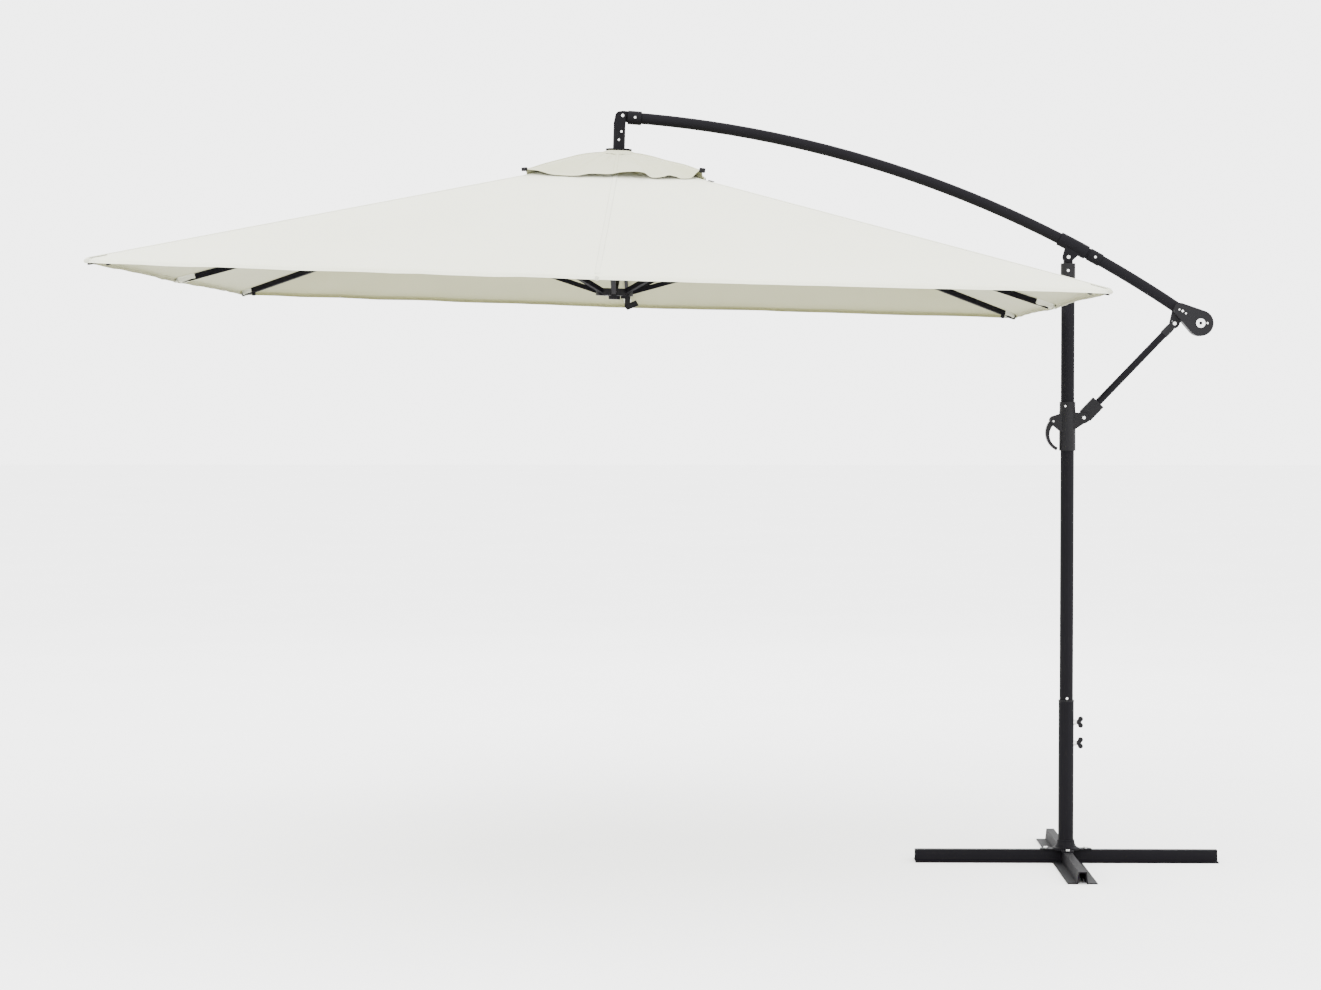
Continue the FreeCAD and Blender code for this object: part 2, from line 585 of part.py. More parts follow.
def make_canopy():
    crown_z = -CROWN_DROP
    post = rod(V(0, 0, 0), Z_AXIS, POST_R, POST_HEIGHT).cut(rod(V(0, 0, -5), Z_AXIS, POST_R - 2.5, 60))
    post = in_place(post)
    shoulder = in_place(Part.Vertex(0, 0, POST_HEIGHT - 6)).Point
    corner = ELBOW + V(-8, 0, -3)
    cheeks = []
    for y0, y1 in ((-POST_R, -10.4), (10.4, POST_R)):
        cheeks.append(link_plate(shoulder, POST_R - 0.5, corner, 18, y0, y1))
        cheeks.append(link_plate(corner, 18, ELBOW, 12, y0, y1))
    NODES["hanger_post"] = joined(post, *cheeks).cut(cross_rod(ELBOW, 4 + GAP, 40))
    marks = []
    for x, z in ((8, 58), (0, 30)):
        rivet = cross_rod(V(x, 0, z), 3.8, POST_R + 1.4)
        marks += in_place(rivet.cut(rod(V(0, 0, 0), Z_AXIS, POST_R, POST_HEIGHT))).Solids
    NODES["post_rivets"] = Part.makeCompound(marks)

    NODES["top_flange"] = in_place(rod(V(0, 0, -5), Z_AXIS, 44.5, 5))
    hub, pins = slotted_hub(crown_z, RIB_WIDTH + 1.2, 40, 21, range(8))
    neck = rod(V(0, 0, crown_z), Z_AXIS, 21, CROWN_DROP - 5)
    NODES["crown_hub"] = in_place(joined(hub, neck).cut(pins.Solids))
    NODES["crown_pins"] = in_place(pins)

    runner_z = crown_z - runner_drop()
    runner, runner_pins = slotted_hub(runner_z, STRETCHER_WIDTH + 1.2, 33, 20, (0, 2, 4, 6))
    NODES["runner_hub"] = in_place(runner)
    NODES["runner_pins"] = in_place(runner_pins)
    hook = prism_xz([
        (22, 0), (54, 0), (54, -22), (74, -13), (84, -30), (46, -47), (36, -38), (36, -9), (22, -9),
    ], -8, 8)
    hook.translate(V(0, 0, runner_z - HUB_HALF))
    NODES["runner_hook"] = in_place(hook)

    cover_lift = RIB_DEPTH / 2 / math.cos(rib_slope(0)) + 1.4
    rim_drop = crown_z - (MID_REACH - HINGE_R) * math.tan(rib_slope(0)) + cover_lift
    slope = math.tan(rib_slope(0))
    top_drop = rim_drop + (MID_REACH - VENT_HOLE_HALF) * slope
    ratio = CORNER_REACH / MID_REACH
    NODES["canopy_cover"] = in_place(sloped_cover(
        (VENT_HOLE_HALF, VENT_HOLE_HALF * ratio), (MID_REACH, CORNER_REACH), (top_drop, rim_drop), CLOTH
    ))
    vent_edge = crown_z - (VENT_HALF - HINGE_R) * slope + cover_lift + VENT_LIFT
    NODES["vent_cover"] = in_place(sloped_cover(
        (24, 24), (VENT_HALF, VENT_HALF * math.sqrt(2)), (-5 - CLOTH - 0.3, vent_edge), CLOTH
    ))


make_base()
for name, height in zip(("wing_screw_upper", "wing_screw_lower"), WING_SCREW_HEIGHTS):
    NODES[name] = wing_screw(height)
make_mast()
make_arm()
make_crank()
make_strut()
make_collar()
make_lever()
make_canopy()
for index in range(8):
    NODES["rib_%d" % (index + 1)] = make_rib(index)
    NODES["stretcher_%d" % (index + 1)] = make_stretcher(index)

os.makedirs("parts", exist_ok=True)
for name, shape in NODES.items():
    shape.exportStep("parts/%s.step" % name)
print(len(NODES), "parts", "all valid" if all(s.isValid() for s in NODES.values()) else "NOT ALL VALID")
for name, shape in NODES.items():
    if not shape.isValid() or shape.Volume <= 0:
        print("bad", name, shape.isValid(), round(shape.Volume))
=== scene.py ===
import json
import math

import bmesh
import bpy
from mathutils import Matrix, Vector, noise


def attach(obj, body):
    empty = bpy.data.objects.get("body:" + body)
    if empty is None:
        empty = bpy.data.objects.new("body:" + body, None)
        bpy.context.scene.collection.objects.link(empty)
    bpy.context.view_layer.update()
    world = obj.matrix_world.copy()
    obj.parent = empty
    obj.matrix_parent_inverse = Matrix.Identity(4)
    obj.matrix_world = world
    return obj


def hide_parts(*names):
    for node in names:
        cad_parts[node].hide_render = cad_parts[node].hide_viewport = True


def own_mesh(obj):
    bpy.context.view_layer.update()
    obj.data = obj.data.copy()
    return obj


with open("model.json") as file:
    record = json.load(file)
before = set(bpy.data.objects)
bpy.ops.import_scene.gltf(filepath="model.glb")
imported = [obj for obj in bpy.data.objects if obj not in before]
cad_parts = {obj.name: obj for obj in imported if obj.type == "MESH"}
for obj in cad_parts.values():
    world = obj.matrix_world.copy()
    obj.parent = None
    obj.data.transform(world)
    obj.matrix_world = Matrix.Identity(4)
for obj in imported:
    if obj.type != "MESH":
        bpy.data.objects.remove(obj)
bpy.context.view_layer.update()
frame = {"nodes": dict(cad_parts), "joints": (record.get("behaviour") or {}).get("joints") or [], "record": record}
nodes = frame["nodes"]
joints = {j["name"]: j for j in frame["joints"]}

# ------------------------------------------------------------------ measures taken from the frame

RIBS = range(8)


def joint_name(k):
    return "canopy_fold" if k == 0 else "rib_%d_hinge" % (k + 1)


def joint_pos(name):
    return Vector(joints[name]["pos_m"])


HINGES = [joint_pos(joint_name(k)) for k in RIBS]
RIVETS = [joint_pos("stretcher_%d_hinge" % (k + 1)) for k in RIBS]
AXIS_Y = Vector(joints[joint_name(0)]["axis"]).normalized()
AXIS_X = -Vector(joints[joint_name(2)]["axis"]).normalized()
AXIS_Z = AXIS_X.cross(AXIS_Y)
CROWN = sum(HINGES, Vector()) / 8
TO_ROW = Matrix.Translation(CROWN) @ Matrix((AXIS_X, AXIS_Y, AXIS_Z)).transposed().to_4x4()
TO_CANOPY = TO_ROW.inverted()


def farthest(node, origin, direction):
    return max((v.co - origin).dot(direction) for v in nodes[node].data.vertices)


RIB_DIRS = [(RIVETS[k] - HINGES[k]).normalized() for k in RIBS]
# The cloth reaches this far past the steel of the four shorter ribs.
PAST_STEEL = 0.016


def rib_end(k):
    """Where the cloth pocket on rib k ends."""
    reach = farthest("rib_%d" % (k + 1), HINGES[k], RIB_DIRS[k])
    return HINGES[k] + RIB_DIRS[k] * (reach if k % 2 else reach + PAST_STEEL)


RIB_ENDS = [rib_end(k) for k in RIBS]

# ------------------------------------------------------------------ materials


class Shader:
    """A Principled material and short calls for the nodes that feed it."""

    def __init__(self, name):
        self.mat = bpy.data.materials.new(name)
        self.mat.use_nodes = True
        self.tree = self.mat.node_tree
        self.bsdf = self.tree.nodes["Principled BSDF"]
        self.coords = self.node("ShaderNodeTexCoord").outputs["Object"]

    def node(self, kind, inputs=None, **settings):
        made = self.tree.nodes.new(kind)
        for key, value in settings.items():
            setattr(made, key, value)
        for key, value in (inputs or {}).items():
            if isinstance(value, bpy.types.NodeSocket):
                self.tree.links.new(value, made.inputs[key])
            else:
                made.inputs[key].default_value = value
        return made

    def math(self, operation, a, b=0.0, clamp=False):
        return self.node("ShaderNodeMath", {0: a, 1: b}, operation=operation, use_clamp=clamp).outputs[0]

    def noise(self, scale, detail=3.0, roughness=0.55, vector=None, kind="Fac"):
        inputs = {"Scale": scale, "Detail": detail, "Roughness": roughness}
        inputs["Vector"] = self.coords if vector is None else vector
        return self.node("ShaderNodeTexNoise", inputs).outputs[kind]

    def stretched(self, scale, vector=None):
        inputs = {"Vector": self.coords if vector is None else vector, "Scale": scale}
        return self.node("ShaderNodeMapping", inputs).outputs[0]

    def ramp(self, value, stops):
        made = self.node("ShaderNodeValToRGB", {"Fac": value})
        elements = made.color_ramp.elements
        while len(elements) < len(stops):
            elements.new(0.5)
        for element, (place, colour) in zip(elements, stops):
            element.position = place
            element.color = (*colour, 1.0)
        return made.outputs["Color"]

    def mix(self, factor, a, b, blend="MIX"):
        made = self.node("ShaderNodeMix", data_type="RGBA", blend_type=blend)
        for socket, value in ((0, factor), (6, a), (7, b)):
            if isinstance(value, bpy.types.NodeSocket):
                self.tree.links.new(value, made.inputs[socket])
            else:
                made.inputs[socket].default_value = value if socket == 0 else (*value, 1.0)
        return made.outputs[2]

    def scaled(self, value, low, high):
        inputs = {"Value": value, "To Min": low, "To Max": high}
        return self.node("ShaderNodeMapRange", inputs).outputs[0]

    def bump(self, height, distance, strength=1.0, normal=None):
        inputs = {"Height": height, "Distance": distance, "Strength": strength}
        if normal is not None:
            inputs["Normal"] = normal
        return self.node("ShaderNodeBump", inputs).outputs[0]

    def feed(self, **sockets):
        for key, value in sockets.items():
            socket = self.bsdf.inputs[key.replace("_", " ")]
            if isinstance(value, bpy.types.NodeSocket):
                self.tree.links.new(value, socket)
            else:
                socket.default_value = value
        return self.mat


def grey(value, blue=0.0):
    return (value, value * (1 - blue * 0.4), value * (1 + blue))


def darker(colour, share):
    return tuple(c * share for c in colour)


def powder_coat(name, level=0.0032, rough=0.60):
    """Anthracite powder coat: fine orange peel, pale dust specks, rubbed brighter spots."""
    s = Shader(name)
    cloud = s.noise(2.6, 5.0)
    speck = s.noise(900.0, 1.0)
    rubbed = s.ramp(s.noise(24.0, 6.0, 0.7), [(0.60, (0, 0, 0)), (0.78, (1, 1, 1))])
    base = s.ramp(cloud, [(0.30, grey(level * 0.82, 0.22)), (0.72, grey(level * 1.25, 0.22))])
    base = s.mix(s.scaled(speck, 0.0, 0.35), base, grey(level * 1.8, 0.2))
    base = s.mix(s.math("MULTIPLY", rubbed, 0.22), base, grey(level * 2.6, 0.12))
    polish = s.math("MULTIPLY", rubbed, -0.07)
    roughness = s.math("ADD", s.scaled(cloud, rough - 0.06, rough + 0.08), polish)
    peel = s.bump(s.noise(420.0, 2.0, 0.5), 0.00022, 0.6)
    grain = s.bump(speck, 0.00006, 0.5, peel)
    return s.feed(Base_Color=base, Roughness=roughness, Normal=grain, Specular_IOR_Level=0.05)


def moulded(name, level=0.0040, rough=0.5):
    """Glass filled nylon: spark-eroded grain, faint flow marks, dusty patches."""
    s = Shader(name)
    cloud = s.noise(9.0, 4.0)
    flow = s.noise(3.0, 3.0, 0.5, s.stretched((1, 1, 14)))
    grain = s.node("ShaderNodeTexVoronoi", {"Vector": s.coords, "Scale": 1500.0}).outputs["Distance"]
    base = s.ramp(cloud, [(0.28, grey(level * 0.85, 0.14)), (0.75, grey(level * 1.35, 0.14))])
    base = s.mix(s.math("MULTIPLY", flow, 0.16), base, grey(level * 2.2, 0.1))
    roughness = s.scaled(flow, rough - 0.06, rough + 0.08)
    mat = s.feed(Base_Color=base, Roughness=roughness, Normal=s.bump(grain, 0.00018, 0.55))
    s.bsdf.inputs["Specular IOR Level"].default_value = 0.10
    return mat


def zinc(name):
    """Zinc plated fasteners: brushed, slightly clouded."""
    s = Shader(name)
    cloud = s.noise(60.0, 4.0)
    lines = s.noise(240.0, 2.0, 0.5, s.stretched((1, 1, 9)))
    base = s.ramp(cloud, [(0.3, (0.50, 0.50, 0.49)), (0.7, (0.72, 0.72, 0.70))])
    roughness = s.scaled(lines, 0.20, 0.38)
    return s.feed(Base_Color=base, Roughness=roughness, Metallic=1.0, Normal=s.bump(lines, 0.00004, 0.5))


def chrome(name):
    """Bright plating with smears and fine scratches."""
    s = Shader(name)
    smear = s.noise(40.0, 4.0)
    scratches = s.noise(310.0, 2.0, 0.6, s.stretched((1, 14, 1)))
    base = s.ramp(smear, [(0.3, (0.66, 0.66, 0.67)), (0.7, (0.80, 0.80, 0.80))])
    roughness = s.scaled(smear, 0.14, 0.30)
    grooves = s.bump(scratches, 0.00003, 0.5)
    return s.feed(Base_Color=base, Roughness=roughness, Metallic=1.0, Normal=grooves)


def woven(name, light, dark, warp=0.0016):
    """Plain weave polyester. The UV map is in metres, so the threads keep their real size."""
    s = Shader(name)
    uv = s.node("ShaderNodeTexCoord").outputs["UV"]
    split = s.node("ShaderNodeSeparateXYZ", {"Vector": uv})
    turns = 2 * math.pi / warp
    across = s.math("SINE", s.math("MULTIPLY", split.outputs["X"], turns))
    along = s.math("SINE", s.math("MULTIPLY", split.outputs["Y"], turns))
    weave = s.scaled(s.math("MULTIPLY", across, along), 0.0, 1.0)
    slub = s.noise(1.0, 3.0, 0.6, s.stretched((700.0, 26.0, 1.0), uv))
    slub_two = s.noise(1.0, 3.0, 0.6, s.stretched((26.0, 700.0, 1.0), uv))
    threads = s.math("ADD", s.math("MULTIPLY", slub, 0.5), s.math("MULTIPLY", slub_two, 0.5))
    cloud = s.noise(1.4, 4.0, 0.6)
    crease = s.noise(7.0, 5.0, 0.6)
    base = s.ramp(cloud, [(0.30, dark), (0.62, light)])
    base = s.mix(s.scaled(threads, 0.0, 0.34), base, darker(dark, 0.90))
    base = s.mix(s.math("MULTIPLY", weave, 0.10), base, tuple(min(1.0, c * 1.04) for c in light))
    soft = s.bump(crease, 0.004, 0.18)
    height = s.math("ADD", s.math("MULTIPLY", weave, 0.7), s.math("MULTIPLY", threads, 0.6))
    cloth = s.bump(height, 0.00028, 0.7, soft)
    mat = s.feed(Base_Color=base, Roughness=s.scaled(threads, 0.72, 0.92), Normal=cloth)
    s.bsdf.inputs["Sheen Weight"].default_value = 0.18
    s.bsdf.inputs["Sheen Roughness"].default_value = 0.45
    s.bsdf.inputs["Specular IOR Level"].default_value = 0.25
    return mat


IVORY = (0.655, 0.662, 0.540)
IVORY_SHADE = (0.615, 0.622, 0.500)
COAT = powder_coat("anthracite_steel")
COAT_RIBS = powder_coat("anthracite_ribs", 0.003, 0.66)
NYLON = moulded("black_nylon")
LEVER = moulded("lever_plastic", 0.0036, 0.36)
GRIP = moulded("grip_plastic", 0.0040, 0.58)
ZINC = zinc("zinc_plate")
CHROME = chrome("bright_ring")
CLOTH = woven("ivory_cloth", IVORY, IVORY_SHADE)
# Painted shade: the underside is the same ivory cloth, painted darker and yellower to stand in for the shade under
# the canopy and the light coming through the cloth.
CLOTH_UNDER_PAINTED_SHADE = woven("ivory_underside_painted_shade", (0.215, 0.213, 0.108), (0.195, 0.193, 0.096))
VENT_CLOTH = woven("ivory_vent", (0.42, 0.42, 0.288), (0.39, 0.39, 0.264))
SEAM_CLOTH = woven("ivory_seam", IVORY, darker(IVORY_SHADE, 0.96), 0.0012)
# Painted shade: the pockets are the same ivory cloth, painted darker for the shade under the hem.
POCKET_CLOTH_PAINTED_SHADE = woven("ivory_pocket_painted_shade", darker(IVORY, 0.70), darker(IVORY_SHADE, 0.62), 0.0014)

BY_SLOT = {
    "steel_frame": COAT, "arm_frame": COAT, "rib_frame": COAT_RIBS, "moulded_black": NYLON,
    "collar_lining": NYLON, "lever_plastic": LEVER, "grip_plastic": GRIP, "bright_ring": CHROME,
    "zinc_fasteners": ZINC, "canopy_cloth": CLOTH,
}
for part in frame["record"]["subparts"]:
    mesh = nodes[part["node"]].data
    mesh.materials.clear()
    mesh.materials.append(BY_SLOT[part["material_slot"]])

# ------------------------------------------------------------------ mesh helpers


def add_object(name, bm, material, body, smooth=True):
    mesh = bpy.data.meshes.new(name)
    bm.to_mesh(mesh)
    bm.free()
    for face in mesh.polygons:
        face.use_smooth = smooth
    mesh.materials.append(material)
    made = bpy.data.objects.new(name, mesh)
    bpy.context.scene.collection.objects.link(made)
    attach(made, body)
    return made


def rib_body(k):
    return "rib_body_%d" % (k + 1)


def smooth_step(x):
    x = min(1.0, max(0.0, x))
    return x * x * (3 - 2 * x)


class Cloth:
    """A cloth surface over the eight ribs. t runs round the ribs, one unit per rib; v runs from
    the inner edge to the rim. All places are in the canopy's own frame."""

    TOP = 1.0

    def __init__(self, inner, outer):
        self.inner = inner
        self.outer = outer

    def ring(self, points, t):
        k = math.floor(t)
        share = t - k
        return points[k % 8].lerp(points[(k + 1) % 8], share)

    def plain(self, t, v):
        return self.ring(self.inner, t).lerp(self.ring(self.outer, t), v)

    def point(self, t, v):
        return self.plain(t, v)

    def normal(self, t, v):
        """The upper side's normal: out of the cloth on top, outwards on the hanging hem."""
        step = 0.02
        low_v, high_v = max(0.0, v - 0.01), min(self.TOP, v + 0.01)
        around = self.point(t + step, v) - self.point(t - step, v)
        along = self.point(t, high_v) - self.point(t, low_v)
        return along.cross(around).normalized()


class Cover(Cloth):
    """Cloth over the ribs. Beyond v = 1 it turns down into a narrow hanging hem."""

    TOP = 2.0
    SAG = 0.012
    SCALLOP_IN = 0.016
    LIP = 0.015
    LIP_START = 0.006

    def point(self, t, v):
        between = 4 * (t - math.floor(t)) * (1 - (t - math.floor(t)))
        over = max(0.0, v - 1.0)
        flat = min(v, 1.0)
        p = self.plain(t, flat)
        p.z -= self.SAG * between * math.sin(math.pi * min(1.0, flat * 1.04))
        edge = smooth_step((flat - 0.55) / 0.45)
        outward = Vector((p.x, p.y, 0)).normalized()
        p -= outward * self.SCALLOP_IN * between * edge
        a = math.atan2(p.y, p.x)
        fan = noise.noise(Vector((math.cos(a) * 15, math.sin(a) * 15, flat * 1.1)))
        fine = noise.noise(Vector((p.x * 5.0, p.y * 5.0, 3.7)))
        tight = smooth_step(between * 1.6)
        pull = smooth_step((flat - 0.72) / 0.28) * (1 - smooth_step(between * 2.2))
        crease = noise.noise(Vector((math.cos(a) * 70, math.sin(a) * 70, flat * 2.0)))
        p.z += 0.0024 * fan * tight + 0.0016 * fine * tight + 0.0018 * crease * pull
        if over > 0:
            wave = noise.noise(Vector((p.x * 9.0, p.y * 9.0, 1.3)))
            drop = self.LIP * over * (1 + 0.12 * wave)
            turned = min(1.0, over * 3)
            p += outward * (self.LIP_START * (turned - 0.45 * over) + 0.003 * wave * over)
            p.z -= drop
        return p


class Vent(Cloth):
    """Loose cloth over the opening. Its hem hangs and lifts in waves between the four corners."""

    # Centre, half width and height of each wave along one edge. The edge runs from -1 to 1.
    WAVES = (
        (-0.56, 0.24, -0.013), (-0.12, 0.18, -0.002), (0.14, 0.17, 0.006), (0.46, 0.10, -0.017),
        (0.61, 0.07, -0.010), (0.81, 0.14, -0.024),
    )
    # How far each corner, named by its rib, is lifted and drawn in.
    LIFTS = {1: 0.012, 3: 0.006, 5: 0.006, 7: 0.020}
    TUCKS = {1: 0.010, 3: 0.006, 5: 0.002, 7: 0.018}
    BULGE = 0.009
    # How large the waves of each edge are, and how far they are moved along it. The -Y edge is first.
    EDGE_SIZES = (1.0, 0.7, 0.85, 0.6)
    EDGE_SHIFTS = (0.0, 0.10, -0.06, 0.18)

    def wave(self, t):
        """Height of the hem. The -Y edge comes first; the other edges repeat it, turned and eased."""
        side = ((t - 5) % 8) / 2
        number = int(side)
        s = 2 * (side - number) - 1
        if number % 2:
            s = -s
        size = self.EDGE_SIZES[number]
        shift = self.EDGE_SHIFTS[number]
        ends = smooth_step((1 - abs(s)) * 7)
        return ends * size * sum(h * math.exp(-(((s - c - shift) / w) ** 4)) for c, w, h in self.WAVES)

    def corner_share(self, t):
        """1 at the four corners, 0 at the middle of each edge, with the corner's number."""
        k = int(2 * math.floor(t / 2) + 1) % 8
        return k, max(0.0, 1 - abs(((t - k + 4) % 8) - 4))

    def point(self, t, v):
        p = self.plain(t, v)
        low = self.ring(self.outer, t).z
        top = self.ring(self.inner, t).z
        between = 4 * (t - math.floor(t)) * (1 - (t - math.floor(t)))
        p.z = top + (low - top) * v ** 1.12
        rise = smooth_step((v - 0.42) / 0.58)
        corner, share = self.corner_share(t)
        p.z += (self.wave(t) + self.LIFTS[corner] * share) * rise
        p -= Vector((p.x, p.y, 0)).normalized() * self.TUCKS[corner] * share ** 2 * rise
        p.z += self.BULGE * math.sin(math.pi * min(1.0, v * 1.1)) * (0.5 + 0.5 * share)
        p.z -= 0.005 * between * math.sin(math.pi * v) * (1 - share)
        a = math.atan2(p.y, p.x)
        fan = noise.noise(Vector((math.cos(a) * 9, math.sin(a) * 9, v * 1.7 + 9.0)))
        crease = noise.noise(Vector((math.cos(a) * 30, math.sin(a) * 30, v * 2.5 + 4.0)))
        p.z += (0.0038 * fan + 0.0016 * crease) * math.sin(math.pi * min(1.0, v + 0.12))
        return p


def sheet_points(cloth, ts, vs, thickness):
    """Upper and lower points with their normals, and each point's place on the cloth in metres."""
    places, tops, lows = {}, {}, {}
    middle = ts[len(ts) // 2]
    for j, v in enumerate(vs):
        across = 0.0
        above, below = thickness(v)
        for i, t in enumerate(ts):
            p = cloth.point(t, v)
            n = cloth.normal(t, v)
            if i:
                across += (p - previous).length
            previous = p.copy()
            tops[i, j] = (TO_ROW @ (p + n * above), n)
            lows[i, j] = (TO_ROW @ (p - n * below), -n)
            places[i, j] = [across, (p - cloth.point(middle, vs[0])).length]
        for i in range(len(ts)):
            places[i, j][0] -= across / 2
    return places, tops, lows


def sheet_rims(columns, rows, ring):
    """Closed chains of grid points round the free edges."""
    first = [(i, 0) for i in range(columns)]
    last = [(i, rows - 1) for i in range(columns)]
    if ring:
        return [first, last]
    far_side = [(columns - 1, j) for j in range(1, rows - 1)]
    near_side = [(0, j) for j in range(rows - 2, 0, -1)]
    return [first + far_side + last[::-1] + near_side]


def grid_sheet(name, cloth, ts, vs, thickness, material, body, ring=False, under=None):
    """A closed thin sheet between the surface and its underside, with its own smooth normals.
    Both sides are cut along the same diagonals, so they never cross. With ring, the last column
    joins the first."""
    bm = bmesh.new()
    uv_layer = bm.loops.layers.uv.new("metres")
    places, tops, lows = sheet_points(cloth, ts, vs, thickness)
    top_verts = {key: bm.verts.new(value[0]) for key, value in tops.items()}
    low_verts = {key: bm.verts.new(value[0]) for key, value in lows.items()}
    turn = TO_ROW.to_3x3()
    wanted = {vert: turn @ tops[key][1] for key, vert in top_verts.items()}
    wanted.update({vert: turn @ lows[key][1] for key, vert in low_verts.items()})
    keys = {vert: key for group in (top_verts, low_verts) for key, vert in group.items()}
    skins = []
    columns, rows = len(ts), len(vs)
    for i in range(columns if ring else columns - 1):
        for j in range(rows - 1):
            n = (i + 1) % columns
            square = [(i, j), (n, j), (n, j + 1), (i, j + 1)]
            for corners in (square[:3], [square[0], square[2], square[3]]):
                skins.append(bm.faces.new([top_verts[q] for q in reversed(corners)]))
                skins.append(bm.faces.new([low_verts[q] for q in corners]))
                skins[-1].material_index = 1 if under else 0
    for rim in sheet_rims(columns, rows, ring):
        for start, end in zip(rim, rim[1:] + rim[:1]):
            bm.faces.new([top_verts[start], top_verts[end], low_verts[end], low_verts[start]])
    bmesh.ops.recalc_face_normals(bm, faces=bm.faces)
    skin_set = set(skins)
    loop_normals = []
    for face in bm.faces:
        for loop in face.loops:
            loop[uv_layer].uv = places[keys[loop.vert]]
            loop_normals.append(wanted[loop.vert] if face in skin_set else face.normal.copy())
    made = add_object(name, bm, material, body)
    made.data.normals_split_custom_set([tuple(n) for n in loop_normals])
    if under:
        made.data.materials.append(under)
    return made


def join_rings(bm, rings, uv_layer, around, along):
    """Skins a row of rings and closes both ends. around and along are the UV places in metres."""
    count = len(rings[0])
    for j in range(len(rings) - 1):
        for i in range(count):
            n = (i + 1) % count
            face = bm.faces.new([rings[j][i], rings[j][n], rings[j + 1][n], rings[j + 1][i]])
            for loop, (a, b) in zip(face.loops, [(i, j), (i + 1, j), (i + 1, j + 1), (i, j + 1)]):
                loop[uv_layer].uv = (around[a], along[b])
    bm.faces.new(list(reversed(rings[0])))
    bm.faces.new(rings[-1])
    bmesh.ops.recalc_face_normals(bm, faces=bm.faces)


def spread(start, end, count):
    return [start + (end - start) * i / count for i in range(count + 1)]


# ------------------------------------------------------------------ canopy surfaces

cover_local = [TO_CANOPY @ v.co for v in nodes["canopy_cover"].data.vertices]
vent_local = [TO_CANOPY @ v.co for v in nodes["vent_cover"].data.vertices]


def outline(points, k, outermost, reach=None):
    """A corner of a CAD sheet on rib k, on its upper side. With reach, the point that far out instead."""
    a = math.radians(45 * k)
    direction = Vector((math.cos(a), math.sin(a), 0))
    on_rib = [p for p in points if abs(p.cross(direction).z) < 0.002 and p.dot(direction) > 0]
    ends = []
    for wanted in (min(p.dot(direction) for p in on_rib), max(p.dot(direction) for p in on_rib)):
        ring = [p for p in on_rib if abs(p.dot(direction) - wanted) < 0.002]
        ends.append(Vector((direction.x * wanted, direction.y * wanted, max(p.z for p in ring))))
    if reach is not None:
        inner, outer = ends
        return inner.lerp(outer, (reach - inner.xy.length) / (outer.xy.length - inner.xy.length))
    return ends[1 if outermost else 0]


def cover_rim(k):
    rim = outline(cover_local, k, True)
    if k % 2:
        return rim
    return rim + (rim - outline(cover_local, k, False)).normalized() * PAST_STEEL


PATCH_R = 0.085
cover = Cover([outline(cover_local, k, False) for k in RIBS], [cover_rim(k) for k in RIBS])
VENT_INNER_R = PATCH_R * 0.8
vent = Vent([outline(vent_local, k, False, VENT_INNER_R) for k in RIBS],
            [outline(vent_local, k, True) for k in RIBS])

SKIN = 0.0006  # thickness of the cloth
HEM = 0.022  # width of the vent's sewn hem


def cover_rows(rows):
    """Rows to the rim, then down the hanging hem."""
    return spread(0, 0.985, rows) + [0.994, 1.0, 1.08, 1.2, 1.45, 1.7, 1.86, 1.94, 2.0]


def cover_thickness(v):
    if v < 1.7:
        return (0.0, SKIN)
    return (0.0007, SKIN + 0.0006) if v < 1.98 else (0.0002, SKIN)


def vent_rows(rows):
    """Rows along the vent's cloth, closer together at the sewn hem."""
    hem = HEM / (vent.plain(0, 1) - vent.plain(0, 0)).length
    return spread(0, 1 - 1.15 * hem, rows) + [1 - hem, 1 - 0.5 * hem, 1 - 0.12 * hem, 1.0]


def vent_thickness(v):
    hem = HEM / (vent.plain(0, 1) - vent.plain(0, 0)).length
    if v < 1 - 1.01 * hem:
        return (0.0, SKIN)
    return (0.0007, SKIN + 0.0009) if v < 1 - 0.1 * hem else (0.0001, SKIN)


def tangent(k):
    a = math.radians(45 * k)
    return TO_ROW.to_3x3() @ Vector((-math.sin(a), math.cos(a), 0))


def gather(obj):
    """Gives the cloth beside a rib its own copy of its mesh."""
    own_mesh(obj)


def panel_columns(k, half):
    return [k - 0.5 + i * 0.5 / half for i in range(half)] + [k + i * 0.5 / half for i in range(half + 1)]


# Columns on each side of a rib and rows along it.
FINE = 10
ROWS = 44
panels, vents = [], []
for k in RIBS:
    cover_grid = (panel_columns(k, FINE), cover_rows(ROWS), cover_thickness)
    # The lower skins of the panels and vents take the underside cloth with its painted shade.
    panels.append(grid_sheet("canopy_panel_%d" % (k + 1), cover, *cover_grid, CLOTH, rib_body(k),
                             under=CLOTH_UNDER_PAINTED_SHADE))
    vent_grid = (panel_columns(k, FINE * 2), vent_rows(ROWS // 2), vent_thickness)
    vents.append(grid_sheet("vent_panel_%d" % (k + 1), vent, *vent_grid, VENT_CLOTH, rib_body(k),
                            under=CLOTH_UNDER_PAINTED_SHADE))

# ------------------------------------------------------------------ apex patch, seams, pockets, clips


POST_R = 0.024
VENT_TOP = max(p.z for p in vent_local)


class Patch(Cloth):
    """Round patch that stays on the hub, close under the flange. It laps over the vent's panels."""

    def point(self, t, v):
        a = math.radians(45 * t)
        r = POST_R + (PATCH_R - POST_R) * v
        lap = vent.point(t, 0.08).z + 0.0012
        z = VENT_TOP + (lap - VENT_TOP) * smooth_step(v ** 1.3)
        return Vector((math.cos(a) * r, math.sin(a) * r, z))


